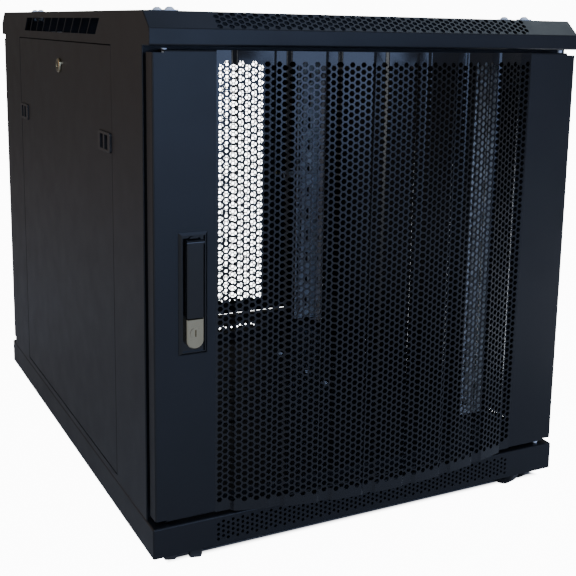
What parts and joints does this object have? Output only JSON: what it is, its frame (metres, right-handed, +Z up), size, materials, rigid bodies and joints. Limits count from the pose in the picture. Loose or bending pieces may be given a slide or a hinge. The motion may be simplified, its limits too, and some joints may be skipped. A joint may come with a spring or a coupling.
{
  "type": "network server rack cabinet",
  "caption": "Floor-standing network rack cabinet with perforated doors, swing handle, lift-off side panels, mounting rails and recessed casters.",
  "frame": {"origin": "centre of the cabinet's box on the floor under the casters", "axes": "+Z up, -Y out of the front door, +Y out of the rear door, +X to the hinge side of the front door"},
  "size_m": [0.6076, 0.8406, 0.6639],
  "materials": {
    "painted_steel": "fine satin powder coat",
    "perforated_steel": "satin powder coat on perforated sheet",
    "zinc_steel": "blue zinc plating",
    "gloss_handle": "polished black",
    "nickel_lock": "nickel plating",
    "latch_plastic": "satin moulded",
    "caster_plastic": "moulded nylon"
  },
  "bodies": {
    "cabinet": {"base_front": "painted_steel", "base_rear": "painted_steel", "base_sides": "painted_steel", "caster_plates": "painted_steel", "floor_plate": "painted_steel", "floor_cover": "painted_steel", "floor_screws": "zinc_steel", "roof": "painted_steel", "roof_washers": "zinc_steel", "roof_screws": "zinc_steel", "left_side_frame": "painted_steel", "right_side_frame": "painted_steel", "front_frame": "painted_steel", "rear_frame": "painted_steel", "rail_front_left": "zinc_steel", "rail_front_right": "zinc_steel", "rail_rear_left": "zinc_steel", "rail_rear_right": "zinc_steel", "depth_rails_left": "zinc_steel", "depth_rails_right": "zinc_steel", "rail_bolts": "zinc_steel", "earth_stud": "zinc_steel"},
    "floor_entry_cover": {"cable_entry_cover": "painted_steel"},
    "roof_entry_cover": {"roof_cable_cover": "painted_steel"},
    "front_door": {"front_door_frame": "painted_steel", "front_door_mesh": "perforated_steel", "front_hinge_pins": "zinc_steel", "handle_escutcheon": "gloss_handle", "lock_housing": "nickel_lock"},
    "handle": {"handle_hub": "gloss_handle", "lever_pin": "zinc_steel", "latch_cam": "zinc_steel"},
    "lever": {"handle_lever": "gloss_handle"},
    "key": {"key_cylinder": "nickel_lock"},
    "rear_door": {"rear_door_frame": "painted_steel", "rear_door_mesh": "perforated_steel", "rear_hinge_pins": "zinc_steel", "rear_lock_body": "nickel_lock"},
    "rear_lock": {"rear_lock_plug": "nickel_lock", "rear_lock_cam": "zinc_steel"},
    "left_panel": {"left_side_panel": "painted_steel", "left_lock_body": "nickel_lock"},
    "left_panel_lock": {"left_lock_plug": "nickel_lock", "left_lock_cam": "zinc_steel"},
    "left_front_latch": {"left_latch_front": "latch_plastic"},
    "left_rear_latch": {"left_latch_rear": "latch_plastic"},
    "right_panel": {"right_side_panel": "painted_steel", "right_lock_body": "nickel_lock"},
    "right_panel_lock": {"right_lock_plug": "nickel_lock", "right_lock_cam": "zinc_steel"},
    "right_front_latch": {"right_latch_front": "latch_plastic"},
    "right_rear_latch": {"right_latch_rear": "latch_plastic"},
    "caster_front_left_swivel": {"caster_front_left": "caster_plastic"},
    "caster_front_left_wheels": {"wheels_front_left": "caster_plastic"},
    "caster_front_right_swivel": {"caster_front_right": "caster_plastic"},
    "caster_front_right_wheels": {"wheels_front_right": "caster_plastic"},
    "caster_rear_left_swivel": {"caster_rear_left": "caster_plastic"},
    "caster_rear_left_wheels": {"wheels_rear_left": "caster_plastic"},
    "caster_rear_right_swivel": {"caster_rear_right": "caster_plastic"},
    "caster_rear_right_wheels": {"wheels_rear_right": "caster_plastic"}
  },
  "joints": [
    {"name": "front_door_hinge", "type": "hinge", "parent": "cabinet", "child": "front_door", "pos_m": [0.279, -0.37166, 0.34], "axis": [0, 0, 1], "range_deg": [0, 120]},
    {"name": "handle_turn", "type": "hinge", "parent": "front_door", "child": "handle", "pos_m": [-0.2505, -0.38266, 0.403], "axis": [0, 1, 0], "range_deg": [0, 90]},
    {"name": "lever_tilt", "type": "hinge", "parent": "handle", "child": "lever", "pos_m": [-0.2505, -0.38966, 0.403], "axis": [-1, 0, 0], "range_deg": [0, 20]},
    {"name": "key_turn", "type": "hinge", "parent": "front_door", "child": "key", "pos_m": [-0.2505, -0.39266, 0.2975], "axis": [0, 1, 0], "range_deg": [0, 90]},
    {"name": "rear_door_hinge", "type": "hinge", "parent": "cabinet", "child": "rear_door", "pos_m": [-0.279, 0.40634, 0.34], "axis": [0, 0, 1], "range_deg": [0, 120]},
    {"name": "rear_lock_turn", "type": "hinge", "parent": "rear_door", "child": "rear_lock", "pos_m": [0.243, 0.40734, 0.35], "axis": [0, 1, 0], "range_deg": [0, 90]},
    {"name": "floor_cover_slide", "type": "slide", "parent": "cabinet", "child": "floor_entry_cover", "axis": [0, -1, 0], "range_m": [0, 0.06]},
    {"name": "roof_cover_slide", "type": "slide", "parent": "cabinet", "child": "roof_entry_cover", "axis": [0, -1, 0], "range_m": [0, 0.055]},
    {"name": "left_panel_pull", "type": "slide", "parent": "cabinet", "child": "left_panel", "axis": [-1, 0, 0], "range_m": [0, 0.25]},
    {"name": "left_panel_lock_turn", "type": "hinge", "parent": "left_panel", "child": "left_panel_lock", "pos_m": [-0.3, 0.00934, 0.584], "axis": [-1, 0, 0], "range_deg": [0, 90]},
    {"name": "left_front_latch_slide", "type": "slide", "parent": "left_panel", "child": "left_front_latch", "axis": [0, 1, 0], "range_m": [0, 0.008]},
    {"name": "left_rear_latch_slide", "type": "slide", "parent": "left_panel", "child": "left_rear_latch", "axis": [0, -1, 0], "range_m": [0, 0.008]},
    {"name": "right_panel_pull", "type": "slide", "parent": "cabinet", "child": "right_panel", "axis": [1, 0, 0], "range_m": [0, 0.25]},
    {"name": "right_panel_lock_turn", "type": "hinge", "parent": "right_panel", "child": "right_panel_lock", "pos_m": [0.3, 0.00934, 0.584], "axis": [1, 0, 0], "range_deg": [0, 90]},
    {"name": "right_front_latch_slide", "type": "slide", "parent": "right_panel", "child": "right_front_latch", "axis": [0, 1, 0], "range_m": [0, 0.008]},
    {"name": "right_rear_latch_slide", "type": "slide", "parent": "right_panel", "child": "right_rear_latch", "axis": [0, -1, 0], "range_m": [0, 0.008]},
    {"name": "caster_front_left_swivel", "type": "hinge", "parent": "cabinet", "child": "caster_front_left_swivel", "pos_m": [-0.247, -0.32966, 0.056], "axis": [0, 0, 1], "continuous": true},
    {"name": "caster_front_left_roll", "type": "hinge", "parent": "caster_front_left_swivel", "child": "caster_front_left_wheels", "pos_m": [-0.25218, -0.34898, 0.025], "axis": [0.9659, -0.2588, 0], "continuous": true},
    {"name": "caster_front_right_swivel", "type": "hinge", "parent": "cabinet", "child": "caster_front_right_swivel", "pos_m": [0.247, -0.32966, 0.056], "axis": [0, 0, 1], "continuous": true},
    {"name": "caster_front_right_roll", "type": "hinge", "parent": "caster_front_right_swivel", "child": "caster_front_right_wheels", "pos_m": [0.25218, -0.34898, 0.025], "axis": [0.9659, 0.2588, 0], "continuous": true},
    {"name": "caster_rear_left_swivel", "type": "hinge", "parent": "cabinet", "child": "caster_rear_left_swivel", "pos_m": [-0.247, 0.36434, 0.056], "axis": [0, 0, 1], "continuous": true},
    {"name": "caster_rear_left_roll", "type": "hinge", "parent": "caster_rear_left_swivel", "child": "caster_rear_left_wheels", "pos_m": [-0.25545, 0.38247, 0.025], "axis": [-0.9063, -0.4226, 0], "continuous": true},
    {"name": "caster_rear_right_swivel", "type": "hinge", "parent": "cabinet", "child": "caster_rear_right_swivel", "pos_m": [0.247, 0.36434, 0.056], "axis": [0, 0, 1], "continuous": true},
    {"name": "caster_rear_right_roll", "type": "hinge", "parent": "caster_rear_right_swivel", "child": "caster_rear_right_wheels", "pos_m": [0.25384, 0.38314, 0.025], "axis": [-0.9397, 0.342, 0], "continuous": true}
  ]
}
